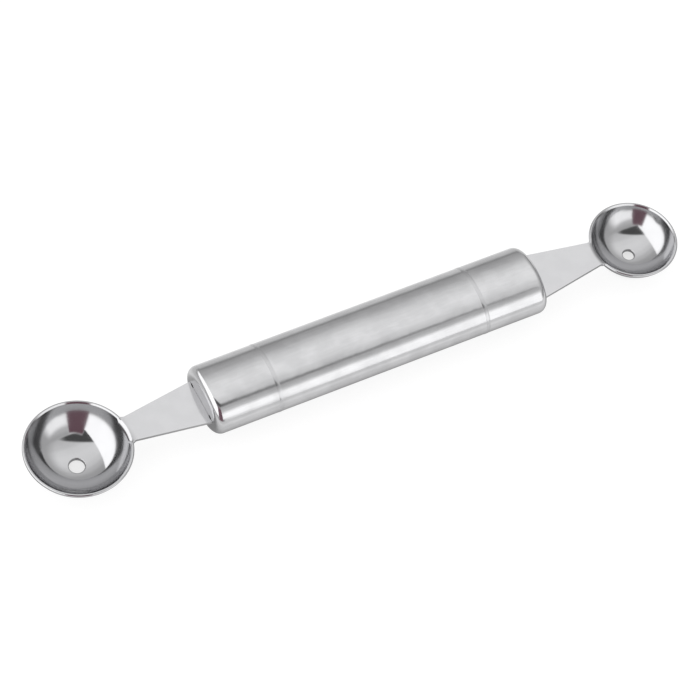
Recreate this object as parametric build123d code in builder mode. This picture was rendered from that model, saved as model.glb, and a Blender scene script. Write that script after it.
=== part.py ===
from build123d import *
import os
from math import acos, asin, degrees, radians, sqrt, tan

os.makedirs("parts", exist_ok=True)

# A double-ended melon baller in stainless steel, in millimetres.
# X runs along the tool, from the large bowl to the small one. Z is up, with both bowls
# open upwards. The origin lies under the middle of the whole length, on the plane that
# the large bowl's underside touches.

# Bowls
large_rim_radius = 15.0
large_bowl_depth = 10.5
large_hole_radius = 2.2
small_rim_radius = 12.7
small_bowl_depth = 8.9
small_hole_radius = 1.65
hole_edge_round = 0.4
lip_outer_round = 0.5
lip_bevel_depth = 0.4
lip_bevel_slope = 51.0

# Distances from the middle of the handle to the middle of each bowl
large_reach = 87.9
small_reach = 84.7

# Blades and tangs, in one sheet with their bowls
sheet = 0.9
large_root_width = 14.0
small_root_width = 15.0
neck_width = 7.7
neck_fillet = 1.2
bend_radius = 2.5
bend_margin = 0.6
tang_width = 11.0
tang_length = 14.0
tang_corner = 2.0

# Handle: an oval tube between two drawn end caps
handle_length = 103.0
handle_width = 20.9
handle_thickness = 15.9
wall = 0.8
cap_length = 19.5
cap_edge_radius = 2.5
spigot_length = 4.0
spigot_clearance = 0.05

# Slots in the caps' end faces
slot_clearance = 0.1
slot_relief_radius = 1.0

# Welds
seam_weld_width = 1.2
seam_weld_crown = 0.06
tang_weld_leg = 1.2
tang_weld_length = 8.0

# How far a cutting shape runs past what it cuts
overrun = 1.0

half_width = handle_width / 2
half_thickness = handle_thickness / 2
half_handle = handle_length / 2

# The seam lies where the cap ends. The weld fills a groove of its own width there.
seam_distance = half_handle - cap_length
shoulder_distance = seam_distance - seam_weld_width / 2
mouth_distance = seam_distance + seam_weld_width / 2

# The middle of the handle lies off the origin by half the difference of the two ends.
large_end = large_reach + large_rim_radius
small_end = small_reach + small_rim_radius
handle_middle = (large_end - small_end) / 2


def sphere_of(rim_radius, depth):
    """Radius of the outer sphere of a bowl whose rounded lip reaches out to the rim radius."""
    return ((rim_radius - lip_outer_round) ** 2 / (depth - 2 * lip_outer_round) + depth) / 2


# The large bowl stands on the lower edge of its drain hole.
large_sphere = sphere_of(large_rim_radius, large_bowl_depth)
hole_edge_lift = large_sphere - sqrt(large_sphere**2 - large_hole_radius**2)
rim_height = large_bowl_depth - hole_edge_lift
axis_height = rim_height - sheet / 2


def cross_plane(distance, side):
    """Plane square to the handle at a distance from its middle, facing the end on that side."""
    middle = (handle_middle + side * distance, 0, axis_height)
    return Plane(origin=middle, x_dir=(0, 1, 0), z_dir=(side, 0, 0))


def outward(side):
    """Direction along the handle towards the end on that side."""
    return Axis((0, 0, 0), (side, 0, 0))


# Tube
# Its ends step inwards by one wall and slip into the caps.
spigot_half_width = half_width - wall - spigot_clearance
spigot_half_thickness = half_thickness - wall - spigot_clearance
spigot_end = mouth_distance + spigot_length

with BuildPart() as handle_tube:
    with BuildSketch(cross_plane(-shoulder_distance, 1)):
        Ellipse(half_width, half_thickness)
    extrude(amount=2 * shoulder_distance)
    with BuildSketch(cross_plane(-spigot_end, 1)):
        Ellipse(spigot_half_width, spigot_half_thickness)
    extrude(amount=2 * spigot_end)
    with BuildSketch(cross_plane(-spigot_end, 1)):
        Ellipse(spigot_half_width - wall, spigot_half_thickness - wall)
    extrude(amount=2 * spigot_end, mode=Mode.SUBTRACT)

handle_tube.part.label = "handle_tube"
export_step(handle_tube.part, "parts/handle_tube.step")


def make_end_cap(name, side):
    """Drawn oval cup with a rounded edge, and a slot for the tang in its flat end."""
    with BuildPart() as core:
        with BuildSketch(cross_plane(mouth_distance - overrun, side)):
            Ellipse(half_width - wall, half_thickness - wall)
        extrude(amount=half_handle - wall - mouth_distance + overrun)
        fillet(core.faces().sort_by(outward(side))[-1].edges(), radius=cap_edge_radius - wall)

    with BuildPart() as cap:
        with BuildSketch(cross_plane(mouth_distance, side)):
            Ellipse(half_width, half_thickness)
        extrude(amount=half_handle - mouth_distance)
        fillet(cap.faces().sort_by(outward(side))[-1].edges(), radius=cap_edge_radius)
        add(core.part, mode=Mode.SUBTRACT)
        with BuildSketch(cross_plane(half_handle - wall - overrun, side)):
            Rectangle(tang_width + 2 * slot_clearance, sheet + 2 * slot_clearance)
            with Locations((-tang_width / 2, 0), (tang_width / 2, 0)):
                Circle(slot_relief_radius)
        extrude(amount=wall + 2 * overrun, mode=Mode.SUBTRACT)

    cap.part.label = name
    export_step(cap.part, f"parts/{name}.step")


def turned_plane(bowl_x, side, angle):
    """Upright plane through a bowl's axis, turned by an angle from the way to the handle."""
    direction = Vector(-side, 0, 0).rotate(Axis.Z, angle)
    return Plane((bowl_x, 0, rim_height), x_dir=direction, z_dir=direction.rotate(Axis.Z, -90))


def make_scoop(name, side, reach, rim_radius, depth, hole_radius, root_width):
    """Bowl, blade and tang pressed from one sheet. The bowl is a spherical cap."""
    bowl_x = handle_middle + side * reach
    face_x = handle_middle + side * half_handle
    tang_end_x = face_x - side * tang_length
    neck_x = bowl_x - side * sqrt(rim_radius**2 - (neck_width / 2) ** 2)
    outer_sphere = sphere_of(rim_radius, depth)
    inner_sphere = outer_sphere - sheet
    sphere_lift = outer_sphere - depth
    bowl_axis = Axis((bowl_x, 0, 0), (0, 0, 1))
    bend_half_turn = degrees(asin((neck_width / 2 + bend_margin) / rim_radius))

    with BuildPart() as scoop:
        with Locations((bowl_x, 0, rim_height + sphere_lift)):
            Sphere(outer_sphere)
        split(bisect_by=Plane.XY.offset(rim_height), keep=Keep.BOTTOM)

        # Rounded outside of the lip, which runs over into the sphere
        lip_angle = degrees(asin((sphere_lift + lip_outer_round) / (outer_sphere - lip_outer_round)))
        with BuildSketch(turned_plane(bowl_x, side, 0)):
            with BuildLine():
                middle = (rim_radius - lip_outer_round, -lip_outer_round)
                outer = CenterArc(middle, lip_outer_round, 90, -90 - lip_angle)
                Polyline(
                    outer @ 1,
                    (rim_radius + overrun, (outer @ 1).Y),
                    (rim_radius + overrun, overrun),
                    ((outer @ 0).X, overrun),
                    outer @ 0,
                )
            make_face()
        revolve(axis=bowl_axis, mode=Mode.SUBTRACT)

        # Flat stretch: the blade narrows from the cap's face to the bowl, where two small
        # fillets lead its sides into the rim. The tang is narrower, so that the blade's
        # shoulders seat on the cap's face.
        with BuildSketch(Plane.XY.offset(rim_height - sheet)) as blank:
            with Locations((bowl_x, 0)):
                Circle(rim_radius)
            with BuildLine():
                Polyline(
                    (face_x, root_width / 2),
                    (neck_x, neck_width / 2),
                    (bowl_x, 0),
                    (neck_x, -neck_width / 2),
                    (face_x, -root_width / 2),
                    close=True,
                )
            make_face()
            fillet(blank.vertices().group_by(outward(side))[1], radius=neck_fillet)
            neck_arc = blank.edges().filter_by(GeomType.CIRCLE).sort_by(SortBy.RADIUS)[0]
            rim_touch = neck_arc.vertices().sort_by(outward(side))[-1]
            with Locations(((rim_touch.X + face_x) / 2, 0)):
                Rectangle(abs(rim_touch.X - face_x), 2 * rim_radius, mode=Mode.INTERSECT)
            with Locations(((face_x + tang_end_x) / 2, 0)):
                Rectangle(tang_length, tang_width)
            fillet(blank.vertices().group_by(outward(side))[0], radius=tang_corner)
        extrude(amount=sheet)

        with Locations((bowl_x, 0, rim_height + sphere_lift)):
            Sphere(inner_sphere, mode=Mode.SUBTRACT)

        # Bend from blade to bowl: a wide round above, and its hollow filled underneath. Both
        # arcs have their middle one bend radius under the flat and as far outside the sphere.
        bend_lift = sphere_lift + bend_radius
        bend_distance = sqrt((inner_sphere + bend_radius) ** 2 - bend_lift**2)
        bend_angle = degrees(acos(bend_lift / (inner_sphere + bend_radius)))
        with BuildSketch(turned_plane(bowl_x, side, -bend_half_turn)):
            with BuildLine():
                upper = CenterArc((bend_distance, -bend_radius), bend_radius, 90, bend_angle)
                Polyline(upper @ 1, ((upper @ 1).X, overrun), ((upper @ 0).X, overrun), upper @ 0)
            make_face()
        revolve(axis=bowl_axis, revolution_arc=2 * bend_half_turn, mode=Mode.SUBTRACT)
        hollow_half_turn = degrees(asin(neck_width / 2 / bend_distance))
        with BuildSketch(turned_plane(bowl_x, side, -hollow_half_turn)):
            with BuildLine():
                lower = CenterArc((bend_distance, -bend_radius), bend_radius - sheet, 90, bend_angle)
                Polyline(lower @ 1, ((lower @ 1).X, -sheet / 2), ((lower @ 0).X, -sheet / 2), lower @ 0)
            make_face()
        revolve(axis=bowl_axis, revolution_arc=2 * hollow_half_turn)

        # Inside of the lip, bevelled outside the bend
        bevel_foot = sqrt(inner_sphere**2 - (sphere_lift + lip_bevel_depth) ** 2)
        bevel_run = (lip_bevel_depth + overrun) / tan(radians(lip_bevel_slope))
        with BuildSketch(turned_plane(bowl_x, side, bend_half_turn)):
            with BuildLine():
                Polyline(
                    (bevel_foot, -lip_bevel_depth),
                    (bevel_foot + bevel_run, overrun),
                    (bevel_foot, overrun),
                    close=True,
                )
            make_face()
        revolve(axis=bowl_axis, revolution_arc=360 - 2 * bend_half_turn, mode=Mode.SUBTRACT)

        # Drain hole, with its upper edge rounded
        with BuildSketch(Plane.XY.offset(-overrun)):
            with Locations((bowl_x, 0)):
                Circle(hole_radius)
        extrude(amount=rim_height + overrun, mode=Mode.SUBTRACT)
        hole_wall = scoop.faces().filter_by(GeomType.CYLINDER).sort_by(Axis.Z)[0]
        fillet(hole_wall.edges().sort_by(Axis.Z)[-1], radius=hole_edge_round)

    scoop.part.label = name
    export_step(scoop.part, f"parts/{name}.step")


def make_seam_weld(name, side):
    """Bead round the handle in the groove between tube and cap, a little proud of them."""
    with BuildPart() as bead:
        with BuildSketch(cross_plane(shoulder_distance, side)):
            Ellipse(half_width + seam_weld_crown, half_thickness + seam_weld_crown)
            Ellipse(half_width - wall, half_thickness - wall, mode=Mode.SUBTRACT)
        extrude(amount=seam_weld_width)

    bead.part.label = name
    export_step(bead.part, f"parts/{name}.step")


def make_tang_weld(name, side):
    """Two fillet beads in the corners between the tang's flats and the cap's inner face."""
    corner_x = handle_middle + side * (half_handle - wall)
    tang_top = axis_height + sheet / 2
    with BuildPart() as beads:
        with BuildSketch(Plane.XZ):
            with BuildLine():
                Polyline(
                    (corner_x, tang_top),
                    (corner_x - side * tang_weld_leg, tang_top),
                    (corner_x, tang_top + tang_weld_leg),
                    close=True,
                )
            make_face()
        extrude(amount=tang_weld_length / 2, both=True)
        mirror(about=Plane.XY.offset(axis_height))

    beads.part.label = name
    export_step(beads.part, f"parts/{name}.step")


make_end_cap("large_end_cap", -1)
make_end_cap("small_end_cap", 1)
make_scoop(
    "large_scoop", -1, large_reach, large_rim_radius, large_bowl_depth, large_hole_radius, large_root_width
)
make_scoop(
    "small_scoop", 1, small_reach, small_rim_radius, small_bowl_depth, small_hole_radius, small_root_width
)
make_seam_weld("large_seam_weld", -1)
make_seam_weld("small_seam_weld", 1)
make_tang_weld("large_tang_weld", -1)
make_tang_weld("small_tang_weld", 1)
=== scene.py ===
# %% [markdown]
# # A double-ended melon baller
#
# The tool is all stainless steel: an oval handle made of a tube and two drawn cups, and at
# each end a bowl with a flat blade, pressed from one sheet. The sizes and places come from
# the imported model, which is loaded first and stays fixed. Everything is in metres.

# %% Load the fixed frame
import math

import bpy
import numpy as np
from mathutils import Matrix, Vector


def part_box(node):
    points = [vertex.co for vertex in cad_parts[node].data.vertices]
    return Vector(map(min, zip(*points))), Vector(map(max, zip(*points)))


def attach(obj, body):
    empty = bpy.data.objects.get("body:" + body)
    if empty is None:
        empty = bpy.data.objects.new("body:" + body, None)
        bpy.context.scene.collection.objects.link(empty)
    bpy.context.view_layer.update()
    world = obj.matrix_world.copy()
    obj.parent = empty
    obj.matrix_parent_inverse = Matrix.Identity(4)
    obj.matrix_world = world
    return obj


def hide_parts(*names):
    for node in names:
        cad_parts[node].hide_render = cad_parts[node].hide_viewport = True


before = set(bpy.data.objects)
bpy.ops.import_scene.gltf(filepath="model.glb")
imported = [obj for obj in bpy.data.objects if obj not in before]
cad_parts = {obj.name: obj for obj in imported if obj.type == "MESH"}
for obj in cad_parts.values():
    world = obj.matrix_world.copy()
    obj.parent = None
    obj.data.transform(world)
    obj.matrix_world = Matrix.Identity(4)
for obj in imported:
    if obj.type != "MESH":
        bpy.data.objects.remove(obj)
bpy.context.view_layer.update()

# %% [markdown]
# ## Sizes
#
# The boxes of the nodes give the main sizes: the handle's half axes are half the tube's
# width and thickness, and its ends are where the cups end. They could be typed in again,
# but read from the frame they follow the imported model. What no box tells, such as a wall's
# thickness, is named at its real size in the step that first needs it.

# %% Read the main sizes
mm = 0.001
wall = 0.8 * mm
inside_cad = 0.002 * mm

tube_low, tube_high = (np.array(corner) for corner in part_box("handle_tube"))
cap_low, cap_high = (np.array(corner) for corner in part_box("large_end_cap"))
_, far_high = (np.array(corner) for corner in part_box("small_end_cap"))
half_width = (tube_high[1] - tube_low[1]) / 2
half_thickness = (tube_high[2] - tube_low[2]) / 2
axis_height = (tube_high[2] + tube_low[2]) / 2
handle_middle = (cap_low[0] + far_high[0]) / 2
half_handle = (far_high[0] - cap_low[0]) / 2
mouth_distance = handle_middle - cap_high[0]
print("handle:", 2 * half_handle, "long,", 2 * half_width, "wide,", 2 * half_thickness, "thick")

# %% [markdown]
# ## From arrays to a mesh
#
# Every new piece is a set of grids of points. Primitives with modifiers could be used, but
# polished metal shows every flaw, and a computed grid lies exactly on the real surface. A
# grid of points has quads between neighbouring rows and columns, and numpy can number all
# of them at once. Two grids that share a line of points use the same vertex numbers there,
# so the piece is closed.

# %% Build meshes from grids
sharp_angle = math.radians(30.0)
bevel_segments = 2


def quads(grid, closed=False):
    """Quads between the rows and columns of a grid of vertex numbers.

    With closed=True the last column joins the first one again.
    """
    if closed:
        grid = np.concatenate([grid, grid[:, :1]], axis=1)
    corners = [grid[:-1, :-1], grid[1:, :-1], grid[1:, 1:], grid[:-1, 1:]]
    return np.stack(corners, axis=-1).reshape(-1, 4)


def make_piece(name, points, faces, node, bevel=0.0):
    """Mesh object from points and quads. It stands for a node and rides on the body."""
    mesh = bpy.data.meshes.new(name)
    mesh.vertices.add(len(points))
    mesh.vertices.foreach_set("co", np.ascontiguousarray(points, dtype=np.float32).ravel())
    mesh.loops.add(faces.size)
    mesh.loops.foreach_set("vertex_index", np.ascontiguousarray(faces, dtype=np.int32).ravel())
    mesh.polygons.add(len(faces))
    mesh.polygons.foreach_set("loop_start", np.arange(0, faces.size, 4, dtype=np.int32))
    mesh.update(calc_edges=True)
    mesh.validate()
    mesh.shade_smooth()
    mesh.set_sharp_from_angle(angle=sharp_angle)
    piece = bpy.data.objects.new(name, mesh)
    bpy.context.scene.collection.objects.link(piece)
    if bevel:
        rounding = piece.modifiers.new("edges", "BEVEL")
        rounding.limit_method = "ANGLE"
        rounding.angle_limit = sharp_angle
        rounding.width = bevel
        rounding.segments = bevel_segments
        rounding.harden_normals = True
    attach(piece, "root")
    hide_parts(node)
    print(name, "has", len(points), "points and", len(faces), "faces")
    return piece


# %% [markdown]
# ## The handle
#
# The handle is made of a tube, two cups and two weld beads, all with the same oval section.
# Each is a profile carried once round the oval, which a Screw or Curve object could also
# do, but only on a circle or with less even points. A profile point is a place along the
# handle and an inset from the outer surface, and the inset shortens both half axes.

# %% Carry a profile round the oval
round_steps = 192
round_angles = np.arange(round_steps) * 2 * np.pi / round_steps


def oval_points(profile, side=1):
    """Points (x, (a - e) cos t, (b - e) sin t) for each profile pair (x, e) and angle t.

    x is a distance from the handle's middle towards the end on the given side. On the
    other side the angle runs the other way, so that the faces keep pointing outwards.
    """
    distance, inset = np.asarray(profile).T[:, :, None]
    angles = side * round_angles
    across = (half_width - inset) * np.cos(angles)
    height = axis_height + (half_thickness - inset) * np.sin(angles)
    along = handle_middle + side * distance + 0 * across
    return np.stack([along, across, height], axis=-1)


def arc(centre, radius, start, turn, steps):
    """Points on an arc: centre + radius (cos t, sin t), with t from start by turn."""
    angles = np.radians(start + turn * np.linspace(0, 1, steps + 1))
    return np.asarray(centre) + radius * np.stack([np.cos(angles), np.sin(angles)], axis=-1)


def oval_ring(name, profile, node, side=1):
    """Closed ring: a closed profile carried round the oval."""
    points = oval_points(profile, side)
    numbers = np.arange(points[..., 0].size).reshape(points.shape[:2])
    numbers = np.concatenate([numbers, numbers[:1]])
    return make_piece(name, points.reshape(-1, 3), quads(numbers, closed=True), node)


print("oval of", round_steps, "steps, half axes", half_width, "and", half_thickness)

# %% [markdown]
# ### Tube
#
# The middle of the handle is an oval tube. Its ends are stepped down, so that they slip into
# the cups. It could be a cylinder, scaled and edited at its ends, but one closed profile
# gives the outside, the steps and the bore at once, at their real sizes.

# %% Tube with its stepped ends
spigot_clearance = 0.05 * mm
tube_columns = 24
spigot_end = (tube_high[0] - tube_low[0]) / 2
shoulder = cap_high[0] + (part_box("large_seam_weld")[1][0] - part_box("large_seam_weld")[0][0])
shoulder_distance = handle_middle - shoulder
spigot_inset = wall + spigot_clearance
bore_inset = spigot_inset + wall
tube_stations = np.linspace(-shoulder_distance, shoulder_distance, tube_columns + 1)
outer_line = np.stack([tube_stations, np.zeros(tube_columns + 1)], axis=-1)
step_line = np.array([
    (shoulder_distance, spigot_inset), (spigot_end, spigot_inset), (spigot_end, bore_inset),
])
tube_profile = np.concatenate([outer_line, step_line, step_line[::-1] * (-1, 1)])
tube = oval_ring("tube_oval", tube_profile, "handle_tube")

# %% [markdown]
# ### Weld beads
#
# Tube and cup are welded all round, and the weld is ground nearly level, so it shows as a
# faint ring. A bump in the material could fake it, but a real crown, however low, catches
# the light from every side and is also there in the mesh.

# %% Weld beads, ground to a low crown
bead_columns = 8


def seam_bead(name, side, node):
    """Ring between the tube and the cap, with a low crown.

    Over its width its outside stands 4 c s (1 - s) proud, with s from 0 to 1 and c the
    crown's height.
    """
    low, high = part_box(node)
    crown = (high[2] - low[2]) / 2 - half_thickness - inside_cad
    share = np.linspace(0, 1, bead_columns + 1)
    along = shoulder_distance + (mouth_distance - shoulder_distance) * share
    outside = np.stack([along, -crown * 4 * share * (1 - share)], axis=-1)
    inside = np.array([(mouth_distance, wall), (shoulder_distance, wall)])
    return oval_ring(name, np.concatenate([outside, inside]), node, side)


large_bead = seam_bead("large_seam_bead", -1, "large_seam_weld")
small_bead = seam_bead("small_seam_bead", 1, "small_seam_weld")

# %% [markdown]
# ## The end cups
#
# A cup is drawn from sheet, so its edge is round and its end is flat, with a slot for the
# tang. The slot ends in round relief holes. A Boolean could cut the slot, but it would
# leave long thin faces beside the polished edge. Here the flat end is a grid that runs from
# the oval to the slot's outline: a quarter of the outline is an arc of the relief hole and
# then half of the slot's long side, and the other quarters are its mirror images.

# %% Slot outline
tang_width = 11.0 * mm
slot_half_height = 0.55 * mm
slot_relief_radius = 1.0 * mm
arc_columns_share = 0.4


def slot_outline():
    """Outline of the slot, one point for each angle of the oval, as (across, height).

    In the first quarter the arc is centre + r (cos t, sin t) up to where it meets the long
    side, and the rest runs straight to the middle.
    """
    quarter = round_steps // 4
    on_arc = int(quarter * arc_columns_share)
    meeting = math.pi - math.asin(slot_half_height / slot_relief_radius)
    turn = np.linspace(0, meeting, on_arc + 1)
    across = tang_width / 2 + slot_relief_radius * np.cos(turn)
    height = slot_relief_radius * np.sin(turn)
    share = np.arange(1, quarter - on_arc + 1) / (quarter - on_arc)
    across = np.concatenate([across, across[-1] * (1 - share)])
    height = np.concatenate([height, np.full(len(share), slot_half_height)])
    first = np.stack([across, height], axis=-1)
    second = (first * (-1, 1))[::-1][1:]
    half = np.concatenate([first, second])
    return np.concatenate([half, (half * (1, -1))[::-1][1:-1]])


print("slot:", tang_width + 2 * slot_relief_radius, "wide,", 2 * slot_half_height, "high")

# %% Cups with a round edge
cap_edge_radius = 2.5 * mm
cup_bevel = 0.04 * mm
barrel_rows, flat_end_rows = 8, 5
outer_edge_rows, inner_edge_rows = 16, 8


def end_cup(name, side, node):
    """Cup: outside, round edge and flat end, slot wall, then the inside back to the mouth."""
    edge_start = half_handle - cap_edge_radius
    inner_radius = cap_edge_radius - wall
    outer_edge = arc((edge_start, cap_edge_radius), cap_edge_radius, -90, 90, outer_edge_rows)
    inner_edge = arc((edge_start, cap_edge_radius), inner_radius, 0, -90, inner_edge_rows)
    barrel_x = np.linspace(mouth_distance, edge_start, barrel_rows + 1)[:-1]
    barrel = np.stack([barrel_x, np.zeros(barrel_rows)], axis=-1)
    outside = oval_points(np.concatenate([barrel, outer_edge]), side)
    inside = oval_points(np.concatenate([inner_edge, [(mouth_distance, wall)]]), side)

    outline = slot_outline() * (1, side)
    flat_share = np.linspace(0, 1, flat_end_rows + 1)[1:, None, None]

    def flat_end(rim_row, distance):
        """Rows at even shares of the way from the round edge's end to the slot's outline."""
        along = np.full(round_steps, handle_middle + side * distance)
        slot_row = np.stack([along, outline[:, 0], axis_height + outline[:, 1]], axis=-1)
        return rim_row + (slot_row - rim_row) * flat_share

    outer_flat = flat_end(outside[-1], half_handle)
    inner_flat = flat_end(inside[0], half_handle - wall)[::-1]
    points = np.concatenate([outside, outer_flat, inner_flat, inside])
    rows = len(points)
    numbers = np.arange(rows * round_steps).reshape(rows, round_steps)
    numbers = np.concatenate([numbers, numbers[:1]])
    faces = quads(numbers, closed=True)
    return make_piece(name, points.reshape(-1, 3), faces, node, cup_bevel)


large_cup = end_cup("large_end_cup", -1, "large_end_cap")
small_cup = end_cup("small_end_cup", 1, "small_end_cap")

# %% [markdown]
# ## The scoops
#
# Bowl, blade and tang are one pressed sheet with a mirror finish. A subdivided sphere joined
# to a plane could stand for it, but the reflections would show the join, so the surface is
# worked out. Seen from above, the sheet is a round plate with a tapered strip: rays from
# the bowl's middle reach the outline at the rim, on the two fillets of the neck or on a
# line across the blade.

# %% Plan outline of a scoop
sheet = 0.9 * mm
neck_width = 7.7 * mm
neck_fillet = 1.2 * mm
neck_columns = 24
fillet_columns = 16
rim_columns = 216


def plan_outline(rim, blade_length, root_width):
    """Columns of a bowl: their angle, and the distance from the bowl's middle to the edge.

    The fillet's centre lies one fillet radius off the blade's side and one fillet radius
    off the rim circle. That distance along the side solves a quadratic equation.
    """
    start = np.array([math.sqrt(rim**2 - (neck_width / 2) ** 2), neck_width / 2])
    end = np.array([blade_length, root_width / 2])
    along = (end - start) / np.linalg.norm(end - start)
    normal = np.array([-along[1], along[0]])
    base = start + neck_fillet * normal
    reach = rim + neck_fillet
    run = -base @ along + math.sqrt((base @ along) ** 2 - base @ base + reach**2)
    centre = base + run * along
    side_touch = start + run * along
    rim_touch = centre * rim / reach
    join_x = side_touch[0] + neck_fillet / 4
    join_y = start[1] + (join_x - start[0]) * along[1] / along[0]

    neck_y = np.linspace(-join_y, join_y, neck_columns + 1)
    neck = np.stack([np.full_like(neck_y, join_x), neck_y], axis=-1)
    from_angle = math.atan2(*(side_touch - centre)[::-1])
    to_angle = math.atan2(*(rim_touch - centre)[::-1])
    to_angle -= 2 * math.pi * (to_angle > from_angle)
    turn = np.linspace(from_angle, to_angle, fillet_columns + 1)
    fillet = centre + neck_fillet * np.stack([np.cos(turn), np.sin(turn)], axis=-1)
    rim_angle = math.atan2(rim_touch[1], rim_touch[0])
    around = np.linspace(rim_angle, 2 * math.pi - rim_angle, rim_columns + 1)[1:-1]
    circle = rim * np.stack([np.cos(around), np.sin(around)], axis=-1)
    outline = np.concatenate([neck, fillet, circle, (fillet * (1, -1))[::-1]])
    angle = np.arctan2(outline[:, 1], outline[:, 0])
    return angle, np.hypot(*outline.T), join_x, join_y


print("columns of a bowl:", neck_columns + 2 * fillet_columns + rim_columns)

# %% [markdown]
# ### Bowl
#
# The bowl is a spherical cap with a rounded lip and a drain hole. Lathing a profile would
# give the same section all round, but at the neck the sheet runs over into the blade. So
# each ray gets its own heights: the hole's rounded edge, the inner sphere, the lip's bevel
# and the lip's outer round, and at the neck a wide arc in place of the bevel.

# %% Height of the two sides of the sheet along each ray
bend_radius = 2.5 * mm
lip_outer_round = 0.5 * mm
lip_bevel_depth = 0.4 * mm
lip_bevel_slope = math.radians(51.0)
lip_turn_end = 80
lip_low_share = 0.2
hole_edge_round = 0.4 * mm
least_flat = 0.05 * mm
hole_rows = 8
sphere_rows = 60
bend_rows = 10
flat_rows = 3
lip_rows = 8
bend_fade = (0.87, 1.25)


def smooth_step(value, low, high):
    """3 t^2 - 2 t^3, with t running from 0 at low to 1 at high."""
    t = np.clip((value - low) / (high - low), 0, 1)
    return t * t * (3 - 2 * t)


def bowl_sides(angle, edge, rim, depth, hole):
    """Upper and lower side of the bowl as rows of (distance, height) for each column.

    Heights count from the rim's plane. The outer sphere has the radius S for which it
    touches the lip's round from inside: (rim - r)^2 + (S - depth + r)^2 = (S - r)^2. Every
    arc between two surfaces has its centre at its own radius from both. The bevel is a
    straight line up from the inner sphere.
    """
    outer = ((rim - lip_outer_round) ** 2 / (depth - 2 * lip_outer_round) + depth) / 2
    inner = outer - sheet
    lift = outer - depth
    neck_angle = math.asin(neck_width / 2 / rim)
    neck_share = 1 - smooth_step(np.abs(angle) / neck_angle, *bend_fade)
    lip_share = 1 - smooth_step(edge, rim, rim + neck_fillet / 3)

    # Where the inner sphere ends: at the bevel's foot on the rim, at the bend's arc on the neck
    bend_centre = math.sqrt((inner + bend_radius) ** 2 - (lift + bend_radius) ** 2)
    bend_touch = math.acos((lift + bend_radius) / (inner + bend_radius))
    bevel_touch = math.acos((lift + lip_bevel_depth) / inner)
    bevel_foot = inner * math.sin(bevel_touch)
    touch = bevel_touch + (bend_touch - bevel_touch) * neck_share

    def bend_height(distance):
        """Height of the bend's arc, and 0 beyond its middle."""
        inwards = np.clip(bend_centre - distance, 0, bend_radius)
        return np.sqrt(bend_radius**2 - inwards**2) - bend_radius

    def bevel_height(distance):
        """Height of the bevel, and 0 beyond its upper edge."""
        return np.minimum((distance - bevel_foot) * math.tan(lip_bevel_slope) - lip_bevel_depth, 0)

    # Rounded hole's edge, inner sphere, bevel or bend, flat, and the lip's outer round
    hole_polar = math.asin((hole + hole_edge_round) / (inner + hole_edge_round))
    hole_turn = np.linspace(math.pi / 2, hole_polar, hole_rows + 1)[:-1, None] + 0 * edge
    hole_x = hole + hole_edge_round * (1 - np.sin(hole_turn))
    hole_floor = lift - (inner + hole_edge_round) * math.cos(hole_polar)
    hole_z = hole_floor + hole_edge_round * np.cos(hole_turn)
    polar = hole_polar + (touch - hole_polar) * np.linspace(0, 1, sphere_rows + 1)[:, None]
    flat_end = edge - lip_outer_round
    bevel_end = bevel_foot + lip_bevel_depth / math.tan(lip_bevel_slope)
    bend_end = np.minimum(bend_centre, flat_end - least_flat)
    slope_end = bevel_end + (bend_end - bevel_end) * neck_share
    foot = inner * np.sin(touch)
    slope_x = foot + (slope_end - foot) * np.linspace(0, 1, bend_rows + 1)[1:, None]
    flat_x = slope_end + (flat_end - slope_end) * np.linspace(0, 1, flat_rows + 1)[1:, None]
    lip_turn = np.radians(np.linspace(0, lip_turn_end, lip_rows + 1)[1:, None]) + 0 * edge
    beyond = np.concatenate([slope_x, flat_x, flat_end + lip_outer_round * np.sin(lip_turn)])
    height = bevel_height(beyond) + (bend_height(beyond) - bevel_height(beyond)) * neck_share
    height[-lip_rows:] += lip_outer_round * (np.cos(lip_turn) - 1) * lip_share
    upper = np.stack([
        np.concatenate([hole_x, inner * np.sin(polar), beyond]),
        np.concatenate([hole_z, lift - inner * np.cos(polar), height]),
    ], axis=-1)

    # Outer sphere up to the lip's round, blended at the neck with a hollow and the blade's
    # underside. The hollow's arc has the same centre as the bend's.
    low_radius = bend_radius - sheet
    low_centre = math.sqrt((outer + low_radius) ** 2 - (lift + sheet + low_radius) ** 2)
    low_touch = math.acos((lift + sheet + low_radius) / (outer + low_radius))
    touch_distance = outer * math.sin(low_touch)
    lip_angle = math.asin((lift + lip_outer_round) / (outer - lip_outer_round))
    low_polar = math.asin(hole / outer)
    low_polar = low_polar + (low_touch - low_polar) * np.linspace(0, 1, sphere_rows + 1)[:, None]
    lip_turn = lip_angle * np.linspace(1, lip_low_share, lip_rows // 2 + 1)[:, None] + 0 * edge
    lip_x = flat_end + lip_outer_round * np.cos(lip_turn)
    middle = np.minimum(low_centre, (touch_distance + 2 * lip_x[0]) / 3)
    bend_x = touch_distance + (middle - touch_distance) * np.linspace(0, 1, bend_rows + 1)[1:, None]
    flat_x = middle + (lip_x[0] - middle) * np.linspace(0, 1, flat_rows + 2)[1:-1, None]
    distance = np.concatenate([outer * np.sin(low_polar) + 0 * edge, bend_x, flat_x, lip_x])
    rounded = lift - np.sqrt(np.maximum(outer**2 - distance**2, 0))
    rounded[-len(lip_turn):] = -lip_outer_round * (1 + np.sin(lip_turn))
    rounded = np.where(distance < touch_distance, rounded, np.minimum(rounded, -lip_outer_round))
    hollow_rise = np.sqrt(np.maximum(low_radius**2 - (low_centre - distance) ** 2, 0))
    hollow = -sheet - low_radius + hollow_rise
    plate = np.where(distance > low_centre, -sheet, hollow)
    plate = np.where(distance <= touch_distance, rounded, plate)
    lower = np.stack([distance, plate + (rounded - plate) * lip_share], axis=-1)
    return upper, lower


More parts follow.
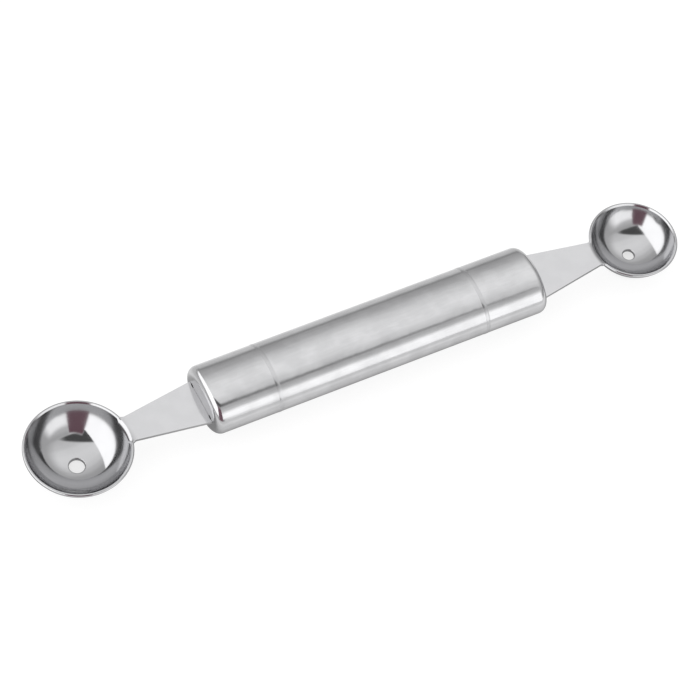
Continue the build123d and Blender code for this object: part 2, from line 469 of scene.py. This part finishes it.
upper_rows = hole_rows + sphere_rows + 1 + bend_rows + flat_rows + lip_rows
print("rows of a bowl's upper side:", upper_rows)

# %% [markdown]
# ### Blade and tang
#
# The blade is the flat part of the sheet. It widens from the neck to the cup, where its
# shoulders seat, and the narrower tang goes on through the slot. It could be an object of
# its own, but then the neck would show a seam, so its rows go on from the bowl's neck
# columns and share their points. Its sides were cut and not polished, which gives them a
# duller steel than the rest.

# %% Put a scoop together
edge_radius = 0.08 * mm
scoop_bevel = 0.05 * mm
rim_margin = 0.1 * mm
side_rows = 16


def scoop(name, side, node, depth, hole, root_width):
    """Bowl columns and blade rows, upper and lower side, joined by the cut edges."""
    low, high = (np.array(corner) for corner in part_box(node))
    rim = (high[1] - low[1]) / 2 - inside_cad
    bowl_x = low[0] + rim if side < 0 else high[0] - rim
    tang_end = (high[0] - bowl_x) if side < 0 else (bowl_x - low[0])
    blade_length = abs(handle_middle + side * half_handle - bowl_x)
    angle, edge, join_x, join_y = plan_outline(rim, blade_length, root_width)
    upper, lower = bowl_sides(angle, edge, rim, depth, hole)

    def place(distance, across, height):
        return np.stack([bowl_x - side * distance, -side * across, high[2] + height], axis=-1)

    def bowl_grid(rows):
        return place(rows[..., 0] * np.cos(angle), rows[..., 0] * np.sin(angle), rows[..., 1])

    # Blade and tang: rows across, as wide as the taper, then the shoulders and the tang.
    taper = np.linspace(join_x, blade_length - edge_radius, side_rows + 1)[1:]
    half_root = join_y + (root_width / 2 - join_y) * (taper - join_x) / (blade_length - join_x)
    tang = np.array([blade_length, (blade_length + tang_end) / 2, tang_end])
    stations = np.concatenate([taper, tang])
    widths = np.concatenate([half_root, np.full(len(tang), tang_width / 2)])
    across = widths[:, None] * np.linspace(-1, 1, neck_columns + 1)
    distance = stations[:, None] + 0 * across

    grids = [
        bowl_grid(upper),
        place(distance, across, 0 * across),
        bowl_grid(lower),
        place(distance, across, 0 * across - sheet),
    ]
    starts = np.cumsum([0] + [grid[..., 0].size for grid in grids])
    numbers = [start + np.arange(grid[..., 0].size).reshape(grid.shape[:2])
               for start, grid in zip(starts, grids)]
    neck = slice(0, neck_columns + 1)
    top_bowl, top_blade, low_bowl, low_blade = numbers
    top_blade = np.concatenate([top_bowl[-1:, neck], top_blade])
    low_blade = np.concatenate([low_bowl[-1:, neck], low_blade])

    def outline(bowl, blade):
        """Vertex numbers round the whole sheet: rim, one side, the tang's end, other side."""
        return np.concatenate([
            bowl[-1, neck_columns:], bowl[-1, :1], blade[1:, 0], blade[-1, 1:], blade[-2:0:-1, -1],
        ])

    edges = np.stack([outline(low_bowl, low_blade), outline(top_bowl, top_blade)])
    hole_wall = np.stack([top_bowl[0], low_bowl[0]])
    faces = [
        quads(top_bowl, closed=True),
        quads(top_blade),
        quads(low_bowl, closed=True)[:, ::-1],
        quads(low_blade)[:, ::-1],
        quads(hole_wall, closed=True)[:, ::-1],
        quads(edges, closed=True)[:, ::-1],
    ]
    points = np.concatenate([grid.reshape(-1, 3) for grid in grids])
    cut_faces = len(faces[-1])
    piece = make_piece(name, points, np.concatenate(faces), node, scoop_bevel)

    # Cut faces beyond the rim are the blade's sides: they get the second material.
    middles = np.zeros(3 * len(piece.data.polygons))
    piece.data.polygons.foreach_get("center", middles)
    middles = middles.reshape(-1, 3)
    cut = np.zeros(len(middles), dtype=np.int32)
    beyond_rim = np.hypot(middles[:, 0] - bowl_x, middles[:, 1]) > rim + rim_margin
    cut[-cut_faces:] = beyond_rim[-cut_faces:]
    piece.data.polygons.foreach_set("material_index", cut)
    return piece


large_depth, large_hole, large_root = 10.5 * mm, 2.2 * mm, 14.0 * mm
small_depth, small_hole, small_root = 8.9 * mm, 1.65 * mm, 15.0 * mm
large_bowl = scoop("large_bowl_and_blade", -1, "large_scoop", large_depth, large_hole, large_root)
small_bowl = scoop("small_bowl_and_blade", 1, "small_scoop", small_depth, small_hole, small_root)

# %% [markdown]
# ## Shader maths
#
# The finishes and the studio are patterns, and a pattern is a formula. It could be drawn by
# hand with dozens of Math nodes, but then nobody could read it. A small class wraps a
# shader socket instead, and each operator on it adds one node.

# %% Shader sockets as numbers
class Value:
    """A socket that holds a number. Sums and products of it add Math nodes."""

    def __init__(self, tree, socket):
        self.tree = tree
        self.socket = socket

    def math(self, operation, first, second=None):
        """Adds one Math node with one or two inputs."""
        inputs = {0: first} if second is None else {0: first, 1: second}
        return self.tree.node("ShaderNodeMath", {"operation": operation}, inputs)

    def __add__(self, other):
        return self.math("ADD", self, other)

    def __sub__(self, other):
        return self.math("SUBTRACT", self, other)

    def __rsub__(self, other):
        return self.math("SUBTRACT", other, self)

    def __mul__(self, other):
        return self.math("MULTIPLY", self, other)

    def __truediv__(self, other):
        return self.math("DIVIDE", self, other)

    def __neg__(self):
        return self * -1.0

    __radd__ = __add__
    __rmul__ = __mul__

    def least(self, other):
        """The smaller one of two numbers."""
        return self.math("MINIMUM", self, other)

    def step(self, low, high):
        """0 below low, 1 above high, smooth between them."""
        settings = {"interpolation_type": "SMOOTHSTEP"}
        inputs = {"Value": self, "From Min": low, "From Max": high}
        return self.tree.node("ShaderNodeMapRange", settings, inputs)


class Tree:
    """The nodes of one material or world, with one method for any node."""

    def __init__(self, owner):
        owner.use_nodes = True
        self.nodes = owner.node_tree.nodes
        self.links = owner.node_tree.links
        self.nodes.clear()

    def node(self, kind, settings=None, inputs=None, output=0):
        """Adds a node, sets its settings, then gives its sockets values or links.

        A ramp's stops are a setting too, as (place, brightness) pairs. With several
        outputs asked for, the method gives a list of them.
        """
        made = self.nodes.new(kind)
        for key, value in (settings or {}).items():
            if key == "stops":
                self.set_stops(made.color_ramp, value)
            else:
                setattr(made, key, value)
        for key, value in (inputs or {}).items():
            if isinstance(value, Value):
                self.links.new(value.socket, made.inputs[key])
            else:
                made.inputs[key].default_value = value
        if isinstance(output, tuple):
            return [Value(self, made.outputs[key]) for key in output]
        return Value(self, made.outputs[output]) if len(made.outputs) else made

    def set_stops(self, ramp, stops):
        """Gives a colour ramp its stops and lets it run smoothly between them."""
        ramp.interpolation = "EASE"
        ramp.elements[0].position, ramp.elements[1].position = stops[0][0], stops[-1][0]
        for place, _ in stops[1:-1]:
            ramp.elements.new(place)
        for element, (_, level) in zip(ramp.elements, stops):
            element.color = grey(level)

    def split(self, vector):
        """The three numbers of a vector."""
        return self.node("ShaderNodeSeparateXYZ", {}, {0: vector}, output=("X", "Y", "Z"))

    def ramp(self, value, stops):
        """Colour ramp on a number."""
        return self.node("ShaderNodeValToRGB", {"stops": stops}, {0: value})

    def mix(self, factor, first, second, blend="MIX"):
        """Colour first where factor is 0. Where it is 1, second or their blend."""
        settings = {"data_type": "RGBA", "blend_type": blend}
        # Several sockets share a name: the colours are inputs 6 and 7 and output 2
        return self.node("ShaderNodeMix", settings, {0: factor, 6: first, 7: second}, output=2)

    def ray_is(self, kind):
        """1 for rays of one kind, such as camera rays, and 0 for all others."""
        return self.node("ShaderNodeLightPath", output=kind)


def grey(level):
    """Neutral colour of one brightness."""
    return (level, level, level, 1.0)


# %% [markdown]
# ## Steel
#
# The scoops are buffed to a mirror, with a little unevenness left. The handle has a satin
# finish: buffing along its length leaves fine scratches and some cloudy spots. A picture of
# steel would repeat and would fit one size only, so both finishes are noise in the object's
# own coordinates. The scratches' noise is stretched along X by a Mapping node.

# %% Make the steels
scratch_stretch = (0.08, 1.0, 1.0)
cloud_range, scratch_range = (0.35, 0.65), (0.3, 0.7)
cloud_weight, scratch_weight = 0.7, 0.3
wall_start, wall_end = 3.5 * mm, 5.5 * mm
large_neck, small_neck = -70.0 * mm, 74.8 * mm
neck_blur = 1.0 * mm
blade_gain = 1.18


def steel(name, colour, roughness, spread, scratch, scratch_scale, wave, wave_scale,
          dull=0.04, wall_roughness=0.0):
    """Polished stainless steel with lengthwise scratches and slow unevenness.

    spread is how far the roughness varies, scratch and wave are heights in metres, the
    scales count repeats per metre, and dull is how much darker the dull spots are. A bowl's
    wall, which the drawing stretched most, is rougher by wall_roughness than its bottom,
    and the flat blades between the necks get a base colour blade_gain times brighter.
    """
    material = bpy.data.materials.new(name)
    tree = Tree(material)
    place = tree.node("ShaderNodeTexCoord", output="Object")
    stretched = tree.node("ShaderNodeMapping", {}, {"Vector": place, "Scale": scratch_stretch})
    lines = tree.node("ShaderNodeTexNoise", {}, {
        "Vector": stretched, "Scale": scratch_scale, "Detail": 3.0, "Roughness": 0.6,
    })
    clouds = tree.node("ShaderNodeTexNoise", {}, {
        "Vector": place, "Scale": wave_scale, "Detail": 2.0, "Roughness": 0.5,
    })
    rough = roughness + (clouds - 0.5) * spread + (lines - 0.5) * (spread / 2)
    if wall_roughness:
        x, _, z = tree.split(place)
        rough = rough + z.step(wall_start, wall_end) * wall_roughness
        past_large = (x - large_neck).step(-neck_blur, neck_blur)
        past_small = (x - small_neck).step(-neck_blur, neck_blur)
        brighter = tuple(blade_gain * level for level in colour[:3]) + (1.0,)
        colour = tree.mix(past_large * (1 - past_small), colour, brighter)
    height = (lines - 0.5) * scratch + (clouds - 0.5) * wave
    bump = tree.node("ShaderNodeBump", {}, {"Strength": 1.0, "Distance": 1.0, "Height": height})
    spots = clouds.step(*cloud_range) * cloud_weight + lines.step(*scratch_range) * scratch_weight
    tint = tree.mix(spots, colour, grey(1.0 - dull), blend="MULTIPLY")
    surface = tree.node("ShaderNodeBsdfPrincipled", {}, {
        "Base Color": tint, "Metallic": 1.0, "Roughness": rough, "Normal": bump,
    })
    tree.node("ShaderNodeOutputMaterial", {}, {"Surface": surface})
    return material


mirror_steel = steel(
    "mirror_steel", (0.535, 0.535, 0.545, 1), roughness=0.08, spread=0.03, scratch=0.15e-6,
    scratch_scale=9000.0, wave=0.6e-6, wave_scale=220.0, wall_roughness=0.06,
)
satin_steel = steel(
    "satin_steel", (0.635, 0.635, 0.645, 1), roughness=0.15, spread=0.12, scratch=1.6e-6,
    scratch_scale=2600.0, wave=60.0e-6, wave_scale=150.0, dull=0.12,
)
weld_steel = steel(
    "weld_steel", (0.57, 0.57, 0.58, 1), roughness=0.22, spread=0.06, scratch=0.8e-6,
    scratch_scale=7000.0, wave=1.5e-6, wave_scale=400.0,
)
cut_steel = steel(
    "cut_steel", (0.55, 0.55, 0.56, 1), roughness=0.3, spread=0.1, scratch=0.8e-6,
    scratch_scale=7000.0, wave=1.5e-6, wave_scale=400.0,
)
print("steels:", [made.name for made in (mirror_steel, satin_steel, weld_steel, cut_steel)])

# %% Put the steels on the pieces
for piece, material in (
    (tube, satin_steel), (large_cup, satin_steel), (small_cup, satin_steel),
    (large_bead, weld_steel), (small_bead, weld_steel),
    (large_bowl, mirror_steel), (small_bowl, mirror_steel),
):
    piece.data.materials.append(material)
for piece in (large_bowl, small_bowl):
    piece.data.materials.append(cut_steel)

# The welds at the tangs are hidden in the cups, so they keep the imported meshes
hidden_welds = [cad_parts[node] for node in ("large_tang_weld", "small_tang_weld")]
for weld in hidden_welds:
    weld.data.materials.clear()
    weld.data.materials.append(weld_steel)
print("kept from the packed model:", [weld.name for weld in hidden_welds])

# %% [markdown]
# ## Studio
#
# Polished steel shows nothing but its surroundings, so the studio is most of the look. Real
# walls and lamps could be built, but each would have to be moved by trial until its mirror
# image fits. The far surroundings are painted on the world's background by direction
# instead: a roof, a wall that falls off on the small bowl's side, a white panel on the
# large bowl's side and a dark wedge overhead. Camera rays see plain white. The numbers p
# and q tell where a direction meets a ceiling one unit up, and around_x is its angle round
# the handle, because all that the handle mirrors depends on that angle.

# %% Where each direction points
degree = 180 / math.pi
half_turn = 180.0
lowest_up = 0.05
studio_strength = 1.545
world = bpy.data.worlds.new("studio_room")
bpy.context.scene.world = world
tree = Tree(world)
x, y, z = tree.split(tree.node("ShaderNodeTexCoord", output="Generated"))
around_x = x.math("ARCTAN2", z, y) * degree
elevation = z.math("ARCSINE", z) * degree
up = z.math("MAXIMUM", z, lowest_up)
p = x / up
q = y / up

# %% Roof, wall, panel, wedge and the dark strips at the horizon
roof_stops = [
    (0.0, 0.38), (0.02, 0.32), (0.04, 0.17), (0.06, 0.30), (0.10, 0.33), (0.17, 0.39),
    (0.24, 0.52), (0.30, 0.64), (0.37, 0.72), (0.46, 0.75), (0.54, 0.71), (0.61, 0.60),
    (0.68, 0.54), (0.73, 0.40), (0.79, 0.50), (0.86, 0.70), (1.0, 0.78),
]
wall_side, wall_top, wall_level = (0.4, 0.75), (20.0, 50.0), 0.40
panel_up, panel_across, panel_blur, panel_level = 0.745, 0.05, 0.01, 1.2
wedge_slope, wedge_start, wedge_start_blur = 0.49, 0.40, 0.05
wedge_end, wedge_end_blur, wedge_tail, wedge_level = 0.78, (-0.03, 0.05), (0.2, 0.8), 0.07
horizon_top = (5.0, 13.0)
panel_horizon_level = 0.3
right_side, right_horizon_level = (0.6, 0.8), 0.12

roof = tree.ramp(around_x / half_turn, roof_stops)
right_wall = x.step(*wall_side) * (1 - elevation.step(*wall_top))
left_panel = (-x - z * panel_up - y * panel_across).step(-panel_blur, panel_blur)
above_wedge = (q + p * wedge_slope + wedge_start).step(-wedge_start_blur, wedge_start_blur)
below_wedge = 1 - (q + wedge_end).step(*wedge_end_blur)
wedge = (1 - above_wedge) * (1 - below_wedge) * (1 - p.step(*wedge_tail)) * (1 - left_panel)
horizon = 1 - elevation.step(*horizon_top)
room = tree.mix(right_wall, roof, grey(wall_level))
room = tree.mix(left_panel, room, grey(panel_level))
room = tree.mix(wedge, room, grey(wedge_level))
room = tree.mix(horizon * left_panel, room, grey(panel_horizon_level))
room = tree.mix(horizon * x.step(*right_side), room, grey(right_horizon_level))

white_level = 1.04
shown = tree.mix(tree.ray_is("Is Camera Ray"), room, grey(white_level / studio_strength))
background = tree.node("ShaderNodeBackground", {}, {"Color": shown, "Strength": studio_strength})
tree.node("ShaderNodeOutputWorld", {}, {"Surface": background})
print("studio painted by direction,", len(tree.nodes), "nodes")

# %% [markdown]
# ### Screen in front
#
# In front stands a white cloth with a dark gap beside it. The two bowls see the gap at
# different angles, which the far background can't give, so this is a real surface close to
# the tool: part of a ball round it, painted by the angles from its middle, and clear
# elsewhere and for the camera.

# %% Mesh of the screen
screen_radius = 0.48
screen_left, screen_right, screen_top = -56, 64, 54
screen_columns, screen_rows = 59, 27
screen_turns = np.radians(np.linspace(screen_left, screen_right, screen_columns + 1))[:, None]
screen_heights = np.radians(np.linspace(0, screen_top, screen_rows + 1))
screen_points = screen_radius * np.stack([
    np.sin(screen_turns) * np.cos(screen_heights),
    -np.cos(screen_turns) * np.cos(screen_heights),
    np.sin(screen_heights) + 0 * screen_turns,
], axis=-1)
screen_faces = quads(np.arange(screen_points[..., 0].size).reshape(screen_points.shape[:2]))
screen_mesh = bpy.data.meshes.new("front_screen")
screen_mesh.from_pydata(screen_points.reshape(-1, 3).tolist(), [], screen_faces.tolist())
front_screen = bpy.data.objects.new("front_screen", screen_mesh)
bpy.context.scene.collection.objects.link(front_screen)

# %% Cloth and gap
gap_left, gap_right, gap_top = (-53.0, -50.0), (-13.0, -10.0), (47.0, 53.0)
gap_colour = (0.135, 0.080, 0.096, 1)
cloth_top, cloth_right = (26.0, 38.0), (30.0, 54.0)
cloth_horizon_right, cloth_horizon_level = (0.0, 20.0), 0.3

screen_material = bpy.data.materials.new("screen_cloth")
tree = Tree(screen_material)
place = tree.node("ShaderNodeTexCoord", output="Object")
x, y, z = tree.split(tree.node("ShaderNodeVectorMath", {"operation": "NORMALIZE"}, {0: place}))
from_front = x.math("ARCTAN2", x, -y) * degree
elevation = z.math("ARCSINE", z) * degree
past_gap = from_front.step(*gap_right)
cloth = past_gap * (1 - elevation.step(*cloth_top)) * (1 - from_front.step(*cloth_right))
gap = from_front.step(*gap_left) * (1 - past_gap) * (1 - elevation.step(*gap_top))
horizon = (1 - elevation.step(*horizon_top)) * (1 - from_front.step(*cloth_horizon_right))
colour = tree.mix(horizon, grey(1.0), grey(cloth_horizon_level))
colour = tree.mix(gap, colour, gap_colour)
solid = (cloth + gap).least(1.0) * (1 - tree.ray_is("Is Camera Ray"))
shining = tree.node("ShaderNodeEmission", {}, {"Color": colour, "Strength": studio_strength})
clear = tree.node("ShaderNodeBsdfTransparent")
seen = tree.node("ShaderNodeMixShader", {}, {0: solid, 1: clear, 2: shining})
tree.node("ShaderNodeOutputMaterial", {}, {"Surface": seen})
screen_mesh.materials.append(screen_material)
print("screen has", len(screen_mesh.polygons), "faces")

# %% [markdown]
# ### Floor
#
# The ground is plain white. A floor lit to white would need so much light that the
# steel would burn out, so it glows a little by itself and the rest is lit, which keeps a
# faint shadow. Its glow also holds painted shadows: for the camera it is dimmer under the
# bowls, as seen through their drain holes. The handle's underside mirrors it, so metal sees
# it in strips: a painted shadow dark right below the tool, brighter before and behind it,
# and darker again far away.

# %% Floor
floor_size = 1.2
floor_colour = grey(0.20)
far_reach = (0.05, 0.5)
# The camera's floor glow is lowered round the drain holes: a painted shadow under the bowls
camera_level, camera_far_level, painted_bowl_shadow_level = 0.87, 0.2, -0.20
# Right under the tool metal sees the floor's glow at its lowest, a painted contact shadow; the
# strips raise it further out
metal_level_in_painted_shadow, metal_far_level = 0.23, -0.15
front_strips = [((0.005, 0.020), 0.45), ((0.020, 0.040), 0.18), ((0.040, 0.060), -0.16)]
back_strips = [((0.010, 0.022), 0.52), ((0.026, 0.044), -0.17)]
hole_places, painted_bowl_shadow_reach = (-85.15 * mm, 87.45 * mm), (0.003, 0.008)


def strips(distance, levels):
    """Sum of smooth steps in a distance, each with its own reach and brightness."""
    return sum(distance.step(*reach) * level for reach, level in levels)


floor_mesh = bpy.data.meshes.new("floor")
floor_corners = [(-floor_size, -floor_size, 0), (floor_size, -floor_size, 0),
                 (floor_size, floor_size, 0), (-floor_size, floor_size, 0)]
floor_mesh.from_pydata(floor_corners, [], [(0, 1, 2, 3)])
floor = bpy.data.objects.new("floor", floor_mesh)
bpy.context.scene.collection.objects.link(floor)
floor_material = bpy.data.materials.new("pale_floor")
tree = Tree(floor_material)
place = tree.node("ShaderNodeTexCoord", output="Object")
across = tree.split(place)[1]
from_middle = tree.node("ShaderNodeVectorMath", {"operation": "LENGTH"}, {0: place}, output="Value")
far = from_middle.step(*far_reach)
# Painted shadow: the floor's glow for the camera is dimmer round each drain hole, under the bowls
painted_shadow_under_bowls = 0.0
for hole_x in hole_places:
    ends = {0: place, 1: (hole_x, 0, 0)}
    apart = tree.node("ShaderNodeVectorMath", {"operation": "DISTANCE"}, ends, output="Value")
    painted_shadow_under_bowls = (1 - apart.step(*painted_bowl_shadow_reach)) + painted_shadow_under_bowls
camera_glow = far * camera_far_level + painted_shadow_under_bowls * painted_bowl_shadow_level + camera_level
# Painted shadow for metal: the glow is low right under the tool and rises before and behind it
metal_glow = strips(-across, front_strips) + strips(across, back_strips)
metal_glow = metal_glow + far * metal_far_level + metal_level_in_painted_shadow
metal_sees = tree.ray_is("Is Glossy Ray") + tree.ray_is("Is Transmission Ray")
glow = tree.ray_is("Is Camera Ray") * camera_glow + metal_sees * metal_glow
lit = tree.node("ShaderNodeBsdfDiffuse", {}, {"Color": floor_colour})
shining = tree.node("ShaderNodeEmission", {}, {"Color": glow, "Strength": 1.0})
both = tree.node("ShaderNodeAddShader", {}, {0: lit, 1: shining})
tree.node("ShaderNodeOutputMaterial", {}, {"Surface": both})
floor_mesh.materials.append(floor_material)
print("floor is", 2 * floor_size, "m wide")

# %% [markdown]
# ## Camera
#
# A long lens looks down on the tool from the front. It could be placed by eye with a Track
# To constraint, but the pose was worked out from the photo's edges, so it is written down:
# the lens's heading, its height above the horizon and its roll, the distance, and how far
# the handle's middle lies off the view's middle.

# %% Camera
heading = math.radians(36.44)
height_angle = math.radians(56.75)
roll = math.radians(-11.06)
distance = 0.9333
shift_right, shift_down = 5.263 * mm, -3.013 * mm
frame_pixels = 700
focal_pixels = 3391

forward = Vector((
    math.sin(heading) * math.cos(height_angle),
    math.cos(heading) * math.cos(height_angle),
    -math.sin(height_angle),
))
level = Vector((math.cos(heading), -math.sin(heading), 0))
down = forward.cross(level)
right = level * math.cos(roll) + down * math.sin(roll)
down = -level * math.sin(roll) + down * math.cos(roll)
target = Vector((handle_middle, 0, axis_height))
eye = target - right * shift_right - down * shift_down - forward * distance
camera_data = bpy.data.cameras.new("camera")
camera = bpy.data.objects.new("camera", camera_data)
bpy.context.scene.collection.objects.link(camera)
camera.matrix_world = Matrix((
    (right.x, -down.x, -forward.x, eye.x),
    (right.y, -down.y, -forward.y, eye.y),
    (right.z, -down.z, -forward.z, eye.z),
    (0, 0, 0, 1),
))
camera_data.sensor_width = 36
camera_data.lens = focal_pixels / frame_pixels * camera_data.sensor_width
camera_data.clip_start = 0.05
bpy.context.scene.camera = camera
bpy.context.scene.view_settings.view_transform = "Standard"
print("camera at", tuple(round(value, 4) for value in eye))
